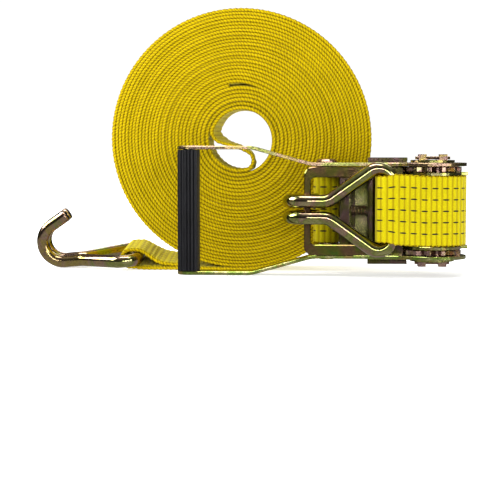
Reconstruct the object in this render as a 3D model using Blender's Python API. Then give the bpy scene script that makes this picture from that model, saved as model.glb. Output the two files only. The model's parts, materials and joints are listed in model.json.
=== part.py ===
"""Ratchet tie down: 50 mm webbing in a coil, a ratchet buckle with its short fixed strap, and two wire hooks.

The coil stands on its rim with its tail and hook lying to the left (-X). The ratchet buckle stands on its
side in front of it (-Y) with its spool axis upright. Everything rests on z = 0.

The buckle is modelled lying flat, in its own axes: u along it (the grip is at -u), v across it (the spool
axis) and w up. The empty ratchet_origin then turns it on its side: X = u, Y = -w and Z = v.
All numbers are millimetres until a mesh is made.
"""

import math

import bmesh
import bpy
from mathutils import Matrix, Vector

MM = 0.001
GAP = 0.3  # left between pieces that touch

# webbing
WEB_WIDTH = 50.0
WEB_THICK = 2.7
WEB_HALF = WEB_WIDTH / 2

# places in the world: the middle of the bounding box is at x = 0, y = 0
COIL_X = -5.8
COIL_RADIUS = 99.0
COIL_HOLE_RADIUS = 22.4
AXLE_X = 135.9
RATCHET_Y = -27.5
AXLE_Z = 47.2
COIL_FRONT_Y = RATCHET_Y + 32.5

# buckle: levels across it (v)
FRAME_INNER, PLATE = 25.4, 2.5
FRAME_OUTER = FRAME_INNER + PLATE
WHEEL_INNER, WHEEL_THICK = FRAME_OUTER + 0.4, 3.5
WHEEL_OUTER = WHEEL_INNER + WHEEL_THICK
ARM_INNER = WHEEL_OUTER + 0.4
ARM_OUTER = ARM_INNER + PLATE
WASHER_INNER, WASHER_THICK, WASHER_RADIUS = ARM_OUTER + GAP, 1.6, 16.0
WASHER_OUTER = WASHER_INNER + WASHER_THICK

# spool
SHAFT_RADIUS = 11.0
SHAFT_SLOT = 4.6
BEARING_RADIUS = SHAFT_RADIUS + 0.35
TANG_END = 40.8
TANG_NEAR, TANG_FAR, TANG_HALF = 4.6, 10.4, 4.4
COTTER_V, COTTER_RADIUS, COTTER_REACH = 38.2, 1.1, 12.6
WHEEL_RADIUS, WHEEL_ROOT, TEETH = 21.0, 16.3, 12
WHEEL_PHASE = 23.5  # degrees, puts a tooth gap over the lock pawl

# base frame
CAM_RADIUS, LOBE_RADIUS = 21.0, 26.9
FRAME_TOP, FRAME_BOTTOM = -2.5, -25.5
WEB_PLATE_LOW = -23.5
ANCHOR_U, ANCHOR_W = -76.6, -19.5
BOLT_RADIUS, SLEEVE_RADIUS = 5.0, 6.9
BOLT_END = 9.0
BOLT_HEAD = ((0.0, 8.0), (7.2, 8.0), (8.6, 6.8), (9.2, 4.6))  # rise above the cheek, and radius
NUT_RADIUS, NUT_TALL = 8.6, 7.0

# handle
ARM_LOW, ARM_TOP, ARM_HEAD_RADIUS = -8.0, 12.0, 24.6
GRIP_U, GRIP_W = -177.3, 2.0
GRIP_WIDE, GRIP_TALL, GRIP_HALF_LENGTH, GRIP_RIBS = 15.7, 20.0, 44.0, 26
GRIP_POWER, GRIP_GROOVE = 4.2, 0.55
ARM_END_RADIUS = 8.5
ROD_RADIUS = 4.0
RIVET = ((0.22, 5.2), (0.15, 6.4), (0.0, 6.8))  # rise above the arm, and radius
FLARE = ((-84.0, 0.0), (-87.0, 0.2), (-90.0, 0.75), (-128.0, 11.3), (-131.0, 11.9), (-134.0, 12.1))
BAIL_LOW, BAIL_THICK = 13.8, 3.0
BAIL_END_U, BAIL_START_U = -92.8, -40.0
BAIL_SIDE_RIM, BAIL_END_RIM, BAIL_CORNER = 7.6, 4.8, 6.0

# pawls
PAWL_THICK = 2.5
DRIVE_PAWL_LOW = 2.0
LOCK_PAWL_LOW = -9.0
SPRING_WIRE = 0.55

# wire hooks
WIRE_RADIUS = 4.75
HOOK_BAR_HALF, HOOK_CORNER_RADIUS, HOOK_CORNER_TURN = 19.05, 10.0, 125.6
HOOK_NECK_RADIUS, HOOK_SHANK_V = 12.0, 5.9
HOOK_REACH, HOOK_BEND_RADIUS, HOOK_BEND_TURN, HOOK_TIP = 58.5, 15.2, 150.0, 15.0
PARKED_U, PARKED_V, PARKED_W = -30.0, 1.6, 28.5
LONG_BAR_X, LONG_BAR_Z = -84.5, 10.7
LONG_HOOK_ROLL = 6.0  # degrees: the long hook lies over on its front leg, and twists the tail with it
LONG_HOOK_RISE = 0.8  # of its shanks' far ends, so that its front one just clears the floor
LOOP_INNER = WIRE_RADIUS + GAP
LOOP_OUTER = LOOP_INNER + WEB_THICK
PARKED_SLACK, LONG_SLACK = 4.4, 5.5  # the sewn loops are this much longer than round, for the wire's corners
PARKED_PINCH, LONG_PINCH = 0.93, 0.87  # and this much narrower than the webbing, to fit between them
LONG_PINCH_PAST = 4.0  # the long strap's loop is narrow from this far past its bar, for when its hook swings

# run of the fixed strap: from the anchor under the frame, round the spool end and up to the parked hook
WRAP_RADIUS = 23.2  # of the strap's middle, round the spool end
RUN_W = ANCHOR_W - SLEEVE_RADIUS - GAP - WEB_THICK / 2  # level of the run under the frame
RUN_END_U = -10.0
WRAP_SHOULDER_W = -8.0  # where the round of the spool end turns into the corner down to the run
SEWN_FROM, SEWN_TO = -66.0, -34.0
TOP_SEWN_FROM, TOP_SEWN_TO = 10.0, 19.0  # along the top run, from the parked bar
CREEP_START_U = -6.0  # from here to the parked bar the strap creeps sideways, towards the hook's level

# long strap: the double back in the middle of the coil, from its centre, and the tail
CORE = ((-15.4, 13.4), (-17.6, 7.0), (-15.6, 0.5), (-10.6, -4.0), (-4.0, -6.2), (3.0, -7.6), (7.8, -10.6),
        (9.8, -14.8), (8.8, -18.4))
TAIL_START, TAIL_SEWN_X, TAIL_LOW = COIL_X - 24.9, -46.0, 0.2
TWIST_END_X = -60.0  # beyond it the tail lies over as far as its hook
FLAP_REACH = 17.0  # where the sewn flap comes down on the tail, from the bar


# ---------- materials ----------

def material(name, colour, roughness, metallic):
    made = bpy.data.materials.new(name)
    made.use_nodes = True
    shader = made.node_tree.nodes["Principled BSDF"]
    shader.inputs["Base Color"].default_value = (*colour, 1.0)
    shader.inputs["Roughness"].default_value = roughness
    shader.inputs["Metallic"].default_value = metallic
    made.diffuse_color = (*colour, 1.0)
    return made


def zinc(name):
    return material(name, (0.62, 0.52, 0.25), 0.3, 1.0)


def copper_zinc(name):
    return material(name, (0.62, 0.36, 0.25), 0.3, 1.0)


def webbing(name):
    return material(name, (0.86, 0.68, 0.0), 0.8, 0.0)


# ---------- shapes ----------

def arc(centre, radius, start, end, steps):
    """Points on a circle, in degrees, both ends included."""
    turns = [math.radians(start + (end - start) * i / steps) for i in range(steps + 1)]
    return [(centre[0] + radius * math.cos(t), centre[1] + radius * math.sin(t)) for t in turns]


def circle(centre, radius, steps=24):
    return arc(centre, radius, 0.0, 360.0, steps)[:-1]


def rectangle(a0, a1, b0, b1):
    return [(a0, b0), (a1, b0), (a1, b1), (a0, b1)]


def side_view(a, b, h):
    """An outline in u and w, extruded across the buckle."""
    return (a, h, b)


def plan_view(a, b, h):
    """An outline in u and v, extruded upwards."""
    return (a, b, h)


def end_view(a, b, h):
    """An outline in v and w, extruded along the buckle."""
    return (h, a, b)


def prism(bm, loops, low, high, view=side_view):
    """Adds a closed solid between two levels: loops[0] is its outline and the others are its holes."""
    flat, rims = {}, []
    for loop in loops:
        rim = []
        for a, b in loop:
            vert = bm.verts.new(Vector(view(a, b, low)) * MM)
            flat[vert] = (a, b)
            rim.append(vert)
        rims.append(rim)
    edges = [bm.edges.new((rim[i - 1], rim[i])) for rim in rims for i in range(len(rim))]
    filled = bmesh.ops.triangle_fill(bm, use_beauty=True, edges=edges)["geom"]
    faces = [item for item in filled if isinstance(item, bmesh.types.BMFace)]
    above = {vert: bm.verts.new(Vector(view(*spot, high)) * MM) for vert, spot in flat.items()}
    made = list(faces)
    made += [bm.faces.new([above[vert] for vert in reversed(face.verts)]) for face in faces]
    for rim in rims:
        for i, vert in enumerate(rim):
            made.append(bm.faces.new((rim[i - 1], vert, above[vert], above[rim[i - 1]])))
    bmesh.ops.recalc_face_normals(bm, faces=made)


def turned(bm, profile, centre=(0.0, 0.0), steps=24):
    """Adds a solid of revolution about the v direction through (u, w) = centre, from (v, radius) pairs."""
    rings = []
    for v, radius in profile:
        ring = [(centre[0] + radius * math.cos(t), v, centre[1] + radius * math.sin(t))
                for t in (2 * math.pi * i / steps for i in range(steps))]
        rings.append([bm.verts.new(Vector(spot) * MM) for spot in ring])
    made = [bm.faces.new(rings[0]), bm.faces.new(rings[-1][::-1])]
    for near, far in zip(rings, rings[1:]):
        for i in range(steps):
            made.append(bm.faces.new((near[i - 1], far[i - 1], far[i], near[i])))
    bmesh.ops.recalc_face_normals(bm, faces=made)


def pinch(bm, middle, end, amount):
    """Draws in the edges of a sewn loop beyond an x, about the middle level across it, where its wire's
    corners need room."""
    for vert in bm.verts:
        if vert.co.x / MM < end:
            vert.co.y = (middle + (vert.co.y / MM - middle) * amount) * MM


def finish(obj, parent, look, bevel=0.0, smooth=35.0):
    obj.data.materials.append(look)
    obj.parent = parent
    if smooth:
        obj.data.shade_smooth()
        obj.data.set_sharp_from_angle(angle=math.radians(smooth))
    if bevel:
        edge = obj.modifiers.new("edge", "BEVEL")
        edge.width = bevel * MM
        edge.segments = 1
        edge.limit_method = "ANGLE"
        edge.angle_limit = math.radians(40.0)
    return obj


def solid(name, build, parent, look, bevel=0.0, smooth=35.0):
    """One object from a function that fills a bmesh."""
    bm = bmesh.new()
    build(bm)
    mesh = bpy.data.meshes.new(name)
    bm.to_mesh(mesh)
    bm.free()
    obj = bpy.data.objects.new(name, mesh)
    bpy.context.scene.collection.objects.link(obj)
    return finish(obj, parent, look, bevel, smooth)


def combine(obj, build, operation):
    """Joins a hidden helper solid to an object, or cuts it away, before the object's bevel."""
    name = f"{obj.name}_helper{len(obj.modifiers)}"
    helper = solid(name, build, obj.parent, obj.data.materials[0], smooth=0)
    helper.hide_render = True
    helper.display_type = "WIRE"
    cut = obj.modifiers.new(operation.lower(), "BOOLEAN")
    cut.operation = operation
    cut.object = helper
    places = [modifier.type for modifier in obj.modifiers]
    if "BEVEL" in places:
        obj.modifiers.move(len(places) - 1, places.index("BEVEL"))
    return obj


def tube(name, points, radius, parent, look, sides=3):
    """A round wire along the points, with filled ends."""
    data = bpy.data.curves.new(name, "CURVE")
    data.dimensions = "3D"
    data.bevel_depth = radius * MM
    data.bevel_resolution = sides
    data.use_fill_caps = True
    spline = data.splines.new("POLY")
    spline.points.add(len(points) - 1)
    for point, spot in zip(spline.points, points):
        point.co = (*(Vector(spot) * MM), 1.0)
    spline.use_smooth = True
    obj = bpy.data.objects.new(name, data)
    bpy.context.scene.collection.objects.link(obj)
    obj.data.materials.append(look)
    obj.parent = parent
    return obj


def empty(name, location=(0.0, 0.0, 0.0), turn=(0.0, 0.0, 0.0), parent=None):
    obj = bpy.data.objects.new(name, None)
    obj.empty_display_size = 0.02
    obj.location = Vector(location) * MM
    obj.rotation_euler = [math.radians(angle) for angle in turn]
    obj.parent = parent
    bpy.context.scene.collection.objects.link(obj)
    return obj


def mirrored(low, high, side):
    """A pair of levels on the +v or -v side, in rising order."""
    return (low, high) if side > 0 else (-high, -low)


# ---------- base frame ----------

def frame_side(bm, side):
    outline = arc((0, 0), CAM_RADIUS, 186.8, -8.0, 26)
    outline += arc((0, 0), LOBE_RADIUS, -11.0, -62.0, 8)
    outline += [(7.0, FRAME_BOTTOM), (-66.0, FRAME_BOTTOM)]
    outline += arc((ANCHOR_U, ANCHOR_W), 10.5, -45.0, -250.0, 14)
    outline += [(-68.0, FRAME_TOP)]
    slot = rectangle(-53.0, -15.8, LOCK_PAWL_LOW - 0.35, LOCK_PAWL_LOW + PAWL_THICK + 0.35)
    holes = [circle((0, 0), BEARING_RADIUS, 28), circle((ANCHOR_U, ANCHOR_W), BOLT_RADIUS + GAP, 16), slot]
    prism(bm, [outline, *holes], *mirrored(FRAME_INNER, FRAME_OUTER, side))


def base_frame(parent):
    frame = solid("base_frame", lambda bm: frame_side(bm, 1), parent, zinc("frame_zinc"), bevel=0.35)
    combine(frame, lambda bm: frame_side(bm, -1), "UNION")
    reach = FRAME_OUTER - 0.6
    web = rectangle(-66.0, -30.0, WEB_PLATE_LOW, WEB_PLATE_LOW + PLATE)
    combine(frame, lambda bm: prism(bm, [web], -reach, reach), "UNION")


def anchor(parent):
    centre = (ANCHOR_U, ANCHOR_W)
    head = FRAME_OUTER + GAP
    bolt = [(-head - BOLT_END, BOLT_RADIUS), (head, BOLT_RADIUS)]
    bolt += [(head + rise, radius) for rise, radius in BOLT_HEAD]
    solid("anchor_bolt", lambda bm: turned(bm, bolt, centre), parent, copper_zinc("bolt_zinc"))
    hexagon = circle(centre, NUT_RADIUS, 6)
    bore = circle(centre, BOLT_RADIUS + GAP, 18)
    solid("anchor_nut", lambda bm: prism(bm, [hexagon, bore], -head - NUT_TALL, -head), parent,
          zinc("nut_zinc"), bevel=0.5)
    tube_end = FRAME_INNER - GAP
    solid("anchor_sleeve", lambda bm: prism(bm, [circle(centre, SLEEVE_RADIUS), bore], -tube_end, tube_end),
          parent, zinc("sleeve_zinc"))


# ---------- spool ----------

def half_disc(side, radius, flat):
    """The outline of one half of the split spool, cut flat at this distance from its axis."""
    lean = math.degrees(math.acos(flat / radius))
    points = arc((0, 0), radius, -lean, lean, 14)
    return [(side * a, b) for a, b in points]


def ratchet_wheel(bm, side):
    pitch = 360.0 / TEETH
    outline = []
    for tooth in range(TEETH):
        base = WHEEL_PHASE + tooth * pitch
        corners = ((0.0, WHEEL_ROOT), (13.0, WHEEL_RADIUS), (22.0, WHEEL_RADIUS), (24.0, WHEEL_ROOT))
        for turn, radius in corners:
            angle = math.radians(base + turn)
            outline.append((radius * math.cos(angle), radius * math.sin(angle)))
    holes = [half_disc(half, SHAFT_RADIUS + GAP, SHAFT_SLOT / 2 - GAP) for half in (1, -1)]
    prism(bm, [outline, *holes], *mirrored(WHEEL_INNER, WHEEL_OUTER, side))


def spool(parent):
    for side, name in ((1, "ratchet_wheel_upper"), (-1, "ratchet_wheel_lower")):
        solid(name, lambda bm: ratchet_wheel(bm, side), parent, copper_zinc(name + "_zinc"), bevel=0.3)
    shoulder = WASHER_OUTER + 0.25
    for half, name in ((1, "spool_shaft_right"), (-1, "spool_shaft_left")):
        body = half_disc(half, SHAFT_RADIUS, SHAFT_SLOT / 2)
        shaft = solid(name, lambda bm: prism(bm, [body], -shoulder, shoulder), parent,
                      copper_zinc(name + "_zinc"), bevel=0.3)
        tang = [(half * a, b) for a, b in rectangle(TANG_NEAR, TANG_FAR, -TANG_HALF, TANG_HALF)]
        combine(shaft, lambda bm: prism(bm, [tang], -TANG_END, TANG_END), "UNION")
        for v in (-COTTER_V, COTTER_V):
            hole = circle((v, 0.0), COTTER_RADIUS + GAP, 12)
            combine(shaft, lambda bm: prism(bm, [hole], -20.0, 20.0, end_view), "DIFFERENCE")
    ring = [circle((0, 0), WASHER_RADIUS, 32), circle((0, 0), BEARING_RADIUS, 28)]
    for side, name in ((1, "spool_washer_upper"), (-1, "spool_washer_lower")):
        span = mirrored(WASHER_INNER, WASHER_OUTER, side)
        solid(name, lambda bm: prism(bm, ring, *span), parent, zinc(name + "_zinc"))

    for v, name in ((COTTER_V, "spool_cotter_upper"), (-COTTER_V, "spool_cotter_lower")):
        pin = circle((v, 0.0), COTTER_RADIUS, 12)
        solid(name, lambda bm: prism(bm, [pin], -COTTER_REACH, COTTER_REACH, end_view), parent,
              copper_zinc(name + "_zinc"))


# ---------- handle ----------

def flare(u):
    """How far an arm is bent outwards at this distance along it."""
    if u >= FLARE[0][0]:
        return 0.0
    for (near, low), (far, high) in zip(FLARE, FLARE[1:]):
        if u >= far:
            return low + (high - low) * (u - near) / (far - near)
    return FLARE[-1][1]


def handle_arm(bm, side):
    outline = arc((0, 0), ARM_HEAD_RADIUS, 118.0, -124.0, 30)
    outline += [(-25.0, -11.5), (-38.0, ARM_LOW), (-150.0, ARM_LOW)]
    outline += arc((GRIP_U, GRIP_W), ARM_END_RADIUS, -82.0, -278.0, 12)
    outline += [(-150.0, ARM_TOP), (-40.0, ARM_TOP), (-25.0, 15.0)]
    slot = rectangle(-54.6, -17.9, DRIVE_PAWL_LOW - 0.5, DRIVE_PAWL_LOW + PAWL_THICK + 0.5)
    holes = [circle((0, 0), BEARING_RADIUS, 28), slot, circle((GRIP_U, GRIP_W), ROD_RADIUS + GAP, 18)]
    prism(bm, [outline, *holes], *mirrored(ARM_INNER, ARM_OUTER, side))
    for u, _ in FLARE:
        cut = bm.verts[:] + bm.edges[:] + bm.faces[:]
        bmesh.ops.bisect_plane(bm, geom=cut, plane_co=(u * MM, 0, 0), plane_no=(1, 0, 0), dist=1e-7)
    for vert in bm.verts:
        vert.co.y += side * flare(vert.co.x / MM) * MM


def grip_outline():
    """A rounded rectangle whose edge is grooved lengthwise, as one ring of points."""
    points = []
    steps = GRIP_RIBS * 4
    for i in range(steps):
        angle = 2 * math.pi * i / steps
        c, s = math.cos(angle), math.sin(angle)
        spread = abs(c / (GRIP_WIDE / 2)) ** GRIP_POWER + abs(s / (GRIP_TALL / 2)) ** GRIP_POWER
        spread **= -1 / GRIP_POWER
        groove = GRIP_GROOVE if i % 4 == 3 else 0.0
        points.append((GRIP_U + (spread - groove) * c, GRIP_W + (spread - groove) * s))
    return points


def handle(parent):
    for side, name in ((1, "handle_arm_upper"), (-1, "handle_arm_lower")):
        solid(name, lambda bm: handle_arm(bm, side), parent, zinc(name + "_zinc"), bevel=0.35)
    bore = circle((GRIP_U, GRIP_W), ROD_RADIUS + GAP, 18)
    solid("handle_grip", lambda bm: prism(bm, [grip_outline(), bore], -GRIP_HALF_LENGTH, GRIP_HALF_LENGTH),
          parent, material("grip_black", (0.012, 0.013, 0.016), 0.5, 0.0), smooth=20.0)
    seat = ARM_OUTER + FLARE[-1][1] + 0.15
    profile = [(-seat - v, r) for v, r in RIVET] + [(-seat, ROD_RADIUS), (seat, ROD_RADIUS)]
    profile += [(seat + v, r) for v, r in reversed(RIVET)]
    solid("grip_rod", lambda bm: turned(bm, profile, (GRIP_U, GRIP_W)), parent, zinc("rod_zinc"))


def handle_yoke(parent):
    """The U-shaped bail that ties the arms together, with a flange inside each arm."""
    outer = ARM_INNER - 0.4
    corner, inner = BAIL_CORNER, outer - BAIL_SIDE_RIM
    points = [(BAIL_START_U, -outer)]
    points += arc((BAIL_END_U + corner, -outer + corner), corner, 270.0, 180.0, 6)
    points += arc((BAIL_END_U + corner, outer - corner), corner, 180.0, 90.0, 6)
    points += [(BAIL_START_U, outer), (BAIL_START_U, inner)]
    inside = BAIL_END_U + BAIL_END_RIM
    points += arc((inside + 3.0, inner - 3.0), 3.0, 90.0, 180.0, 4)
    points += arc((inside + 3.0, -inner + 3.0), 3.0, 180.0, 270.0, 4)
    points += [(BAIL_START_U, -inner)]
    top = BAIL_LOW + BAIL_THICK
    yoke = solid("handle_yoke", lambda bm: prism(bm, [points], BAIL_LOW, top, plan_view), parent,
                 zinc("yoke_zinc"), bevel=0.6)
    for side in (1, -1):
        flange = rectangle(-84.0, -57.0, 3.0, BAIL_LOW + 1.0)
        span = mirrored(outer - PLATE, outer, side)
        combine(yoke, lambda bm: prism(bm, [flange], *span), "UNION")


# ---------- pawls and their springs ----------

def drive_pawl(parent):
    low, high = DRIVE_PAWL_LOW, DRIVE_PAWL_LOW + PAWL_THICK
    half = [(-21.6, 0.0), (-21.6, 32.1), (-18.6, 32.1), (-18.6, 38.5), (-47.0, 38.5), (-47.0, 1.5),
            (-56.6, 1.5)]
    outline = half + [(a, -b) for a, b in reversed(half[1:])]
    pawl = solid("drive_pawl", lambda bm: prism(bm, [outline], low, high, plan_view), parent,
                 copper_zinc("drive_pawl_zinc"), bevel=0.35)
    wall = [(-44.4, high - 0.8), (-41.9, high - 0.8), (-43.6, 17.0), (-46.1, 17.0)]
    combine(pawl, lambda bm: prism(bm, [wall], -22.0, 22.0), "UNION")
    for side in (1, -1):
        ear = rectangle(-47.0, -18.6, low, 9.0)
        span = mirrored(38.5 - PLATE, 38.5, side)
        combine(pawl, lambda bm: prism(bm, [ear], *span), "UNION")


def lock_pawl(parent):
    half = [(-17.5, 0.0), (-17.5, 31.8), (-44.0, 31.8), (-44.0, 1.5), (-54.0, 1.5)]
    outline = half + [(a, -b) for a, b in reversed(half[1:])]
    span = (LOCK_PAWL_LOW, LOCK_PAWL_LOW + PAWL_THICK)
    solid("lock_pawl", lambda bm: prism(bm, [outline], *span, plan_view), parent,
          copper_zinc("lock_pawl_zinc"), bevel=0.35)


def coil_spring(name, parent, near, far, w, radius, turns):
    steps = 12
    points = []
    for i in range(turns * steps + 1):
        angle = 2 * math.pi * i / steps
        u = near + (far - near) * i / (turns * steps)
        points.append((u, radius * math.cos(angle), w + radius * math.sin(angle)))
    tube(name, points, SPRING_WIRE, parent, zinc(name + "_steel"), sides=1)


def spring_seat(name, parent, u, v_half, w_low, w_high, hole_w, flange):
    """A cross plate that a pawl's spring pushes against, with a hole for the pawl's tongue."""
    hole = rectangle(-2.6, 2.6, hole_w - 2.2, hole_w + 2.2)
    plate = rectangle(-v_half, v_half, w_low, w_high)
    seat = solid(name, lambda bm: prism(bm, [plate, hole], u - PLATE, u, end_view), parent,
                 copper_zinc(name + "_zinc"), bevel=0.35)
    if flange:
        fold = rectangle(u - flange, u, w_high - PLATE, w_high)
        combine(seat, lambda bm: prism(bm, [fold], -v_half, v_half), "UNION")


# ---------- wire hooks ----------

def wire_hook_path():
    """Both legs of a double J hook: its bar lies along y through the origin, the legs run to -x and the
    open ends curl round to -z. Returns the points from one tip to the other."""
    spot, heading = Vector((0, 0, 0)), Vector((0, 1, 0))
    points = [spot.copy()]

    def ahead(length):
        nonlocal spot
        spot = spot + heading * length
        points.append(spot.copy())

    def bend(axis, radius, angle, steps):
        nonlocal spot, heading
        centre = spot + Vector(axis).cross(heading) * radius
        turn = Matrix.Rotation(math.radians(angle / steps), 3, Vector(axis))
        for _ in range(steps):
            spot = centre + turn @ (spot - centre)
            heading = turn @ heading
            points.append(spot.copy())

    lean = HOOK_CORNER_TURN - 90.0
    ahead(HOOK_BAR_HALF)
    bend((0, 0, 1), HOOK_CORNER_RADIUS, HOOK_CORNER_TURN, 11)
    drop = HOOK_NECK_RADIUS * (1 - math.cos(math.radians(lean)))
    ahead((spot.y - HOOK_SHANK_V - drop) / math.sin(math.radians(lean)))
    bend((0, 0, -1), HOOK_NECK_RADIUS, lean, 4)
    ahead(HOOK_REACH + spot.x)
    bend((0, -1, 0), HOOK_BEND_RADIUS, HOOK_BEND_TURN, 13)
    ahead(HOOK_TIP)
    other = [Vector((p.x, -p.y, p.z)) for p in points[1:]]
    return other[::-1] + points[1:]


# ---------- straps of the buckle ----------

def tangent_angle():
    """The direction square to the run that touches the parked hook's loop and the round of the spool."""
    along = math.degrees(math.atan2(-PARKED_W, -PARKED_U))
    reach = math.hypot(PARKED_U, PARKED_W)
    wrap_outer = WRAP_RADIUS + WEB_THICK / 2
    return along + math.degrees(math.acos((LOOP_OUTER - wrap_outer) / reach))


def ribbon_outline(middle, thickness):
    """The outline of a strip that follows these points, seen edge-on."""
    path = [Vector(point) for point in middle]
    left, right = [], []
    for i, point in enumerate(path):
        along = (path[min(i + 1, len(path) - 1)] - path[max(i - 1, 0)]).normalized()
        square = Vector((-along.y, along.x)) * thickness / 2
        left.append(tuple(point + square))
        right.append(tuple(point - square))
    return left + right[::-1]


def fixed_strap(frame, handle_side, yellow):
    centre = (ANCHOR_U, ANCHOR_W)
    hole = circle(centre, SLEEVE_RADIUS + GAP, 24)
    outer = SLEEVE_RADIUS + GAP + WEB_THICK
    top, low = RUN_W + WEB_THICK / 2, RUN_W - WEB_THICK / 2
    outline = arc(centre, outer, 20.0, 270.0, 18)
    outline += [(RUN_END_U, low), (RUN_END_U, top), (SEWN_TO, top), (SEWN_TO, top + WEB_THICK)]
    outline += [(SEWN_FROM, top + WEB_THICK)]
    solid("fixed_strap_anchor_run", lambda bm: prism(bm, [outline, hole], -WEB_HALF, WEB_HALF), frame,
          yellow, smooth=30.0)

    square = tangent_angle()
    corner = WRAP_SHOULDER_W - RUN_W
    middle = arc((0, 0), WRAP_RADIUS, square - 0.8, 0.0, 12)
    middle += arc((WRAP_RADIUS - corner, WRAP_SHOULDER_W), corner, 0.0, -90.0, 12)
    middle += [(RUN_END_U + GAP, RUN_W)]
    solid("fixed_strap_wrap", lambda bm: prism(bm, [ribbon_outline(middle, WEB_THICK)], -WEB_HALF, WEB_HALF),
          frame, yellow, smooth=30.0)

    bar = Vector((PARKED_U, PARKED_W))
    normal = Vector((math.cos(math.radians(square)), math.sin(math.radians(square))))
    along = Vector((normal.y, -normal.x))
    wrap_outer = WRAP_RADIUS + WEB_THICK / 2
    length = math.sqrt(bar.length ** 2 - (wrap_outer - LOOP_OUTER) ** 2) - 0.1

    def on_run(distance, depth):
        return tuple(bar + normal * (LOOP_OUTER - depth) + along * distance)

    creep = (CREEP_START_U - PARKED_U) / along.x - LOOP_OUTER * normal.x / along.x
    bulge = (PARKED_U - PARKED_SLACK, PARKED_W)
    outline = arc(tuple(bar), LOOP_OUTER, square, 90.0, 3) + arc(bulge, LOOP_OUTER, 90.0, 270.0, 14)
    outline += arc(tuple(bar), LOOP_OUTER, 270.0, 290.0, 2)
    outline += [on_run(TOP_SEWN_FROM, 2 * WEB_THICK), on_run(TOP_SEWN_TO, 2 * WEB_THICK)]
    outline += [on_run(TOP_SEWN_TO, WEB_THICK), on_run(creep, WEB_THICK)]
    outline += [on_run(length, WEB_THICK), on_run(length, 0.0), on_run(creep, 0.0)]
    hole = arc(tuple(bar), LOOP_INNER, -90.0, 90.0, 12) + arc(bulge, LOOP_INNER, 90.0, 270.0, 12)

    def top_run(bm):
        prism(bm, [outline, hole], -WEB_HALF, WEB_HALF)
        pinch(bm, 0.0, PARKED_U - GAP, PARKED_PINCH)
        for vert in bm.verts:
            share = (CREEP_START_U - vert.co.x / MM) / (CREEP_START_U - PARKED_U)
            vert.co.y += PARKED_V * min(1.0, max(0.0, share)) * MM

    solid("fixed_strap_top", top_run, handle_side, yellow, smooth=30.0)


# ---------- long strap ----------

def lay_over(bm, middle_y):
    """Twists the tail's webbing between the flat coil and the hook that lies over on its side."""
    lean = math.tan(math.radians(LONG_HOOK_ROLL))
    for vert in bm.verts:
        x, y = vert.co.x / MM, vert.co.y / MM
        share = min(1.0, max(0.0, (TAIL_START - x) / (TAIL_START - TWIST_END_X)))
        vert.co.z += share * (lean * (y - middle_y) + LONG_BAR_Z - LOOP_OUTER - TAIL_LOW) * MM


def long_strap(yellow):
    front, back = COIL_FRONT_Y, COIL_FRONT_Y + WEB_WIDTH
    middle_y = (front + back) / 2
    centre = (COIL_X, COIL_RADIUS)
    ring = [circle(centre, COIL_RADIUS, 72), circle(centre, COIL_HOLE_RADIUS, 32)]
    solid("long_strap_roll", lambda bm: prism(bm, ring, front, back), None, yellow, smooth=30.0)
    core = [(COIL_X + a, COIL_RADIUS + b) for a, b in CORE]
    solid("long_strap_core", lambda bm: prism(bm, [ribbon_outline(core, WEB_THICK)], front, back), None,
          yellow, smooth=30.0)

    lie = TAIL_LOW
    flat = rectangle(TAIL_SEWN_X + GAP, TAIL_START, lie, lie + WEB_THICK)
    bar, bulge = (LONG_BAR_X, lie + LOOP_OUTER), (LONG_BAR_X - LONG_SLACK, lie + LOOP_OUTER)
    outline = arc(bulge, LOOP_OUTER, 270.0, 90.0, 14) + arc(bar, LOOP_OUTER, 90.0, 62.0, 3)
    outline += [(LONG_BAR_X + FLAP_REACH, lie + 2 * WEB_THICK), (TWIST_END_X, lie + 2 * WEB_THICK)]
    outline += [(TAIL_SEWN_X, lie + 2 * WEB_THICK), (TAIL_SEWN_X, lie), (TWIST_END_X, lie), (LONG_BAR_X, lie)]
    hole = arc(bar, LOOP_INNER, -90.0, 90.0, 12) + arc(bulge, LOOP_INNER, 90.0, 270.0, 12)

    def tail(bm):
        prism(bm, [flat], front, back)
        lay_over(bm, middle_y)

    def hook_loop(bm):
        prism(bm, [outline, hole], front, back)
        pinch(bm, middle_y, LONG_BAR_X + LONG_PINCH_PAST, LONG_PINCH)
        lay_over(bm, middle_y)

    solid("long_strap_tail", tail, None, yellow)
    solid("long_strap_hook_loop", hook_loop, None, yellow, smooth=30.0)


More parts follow.
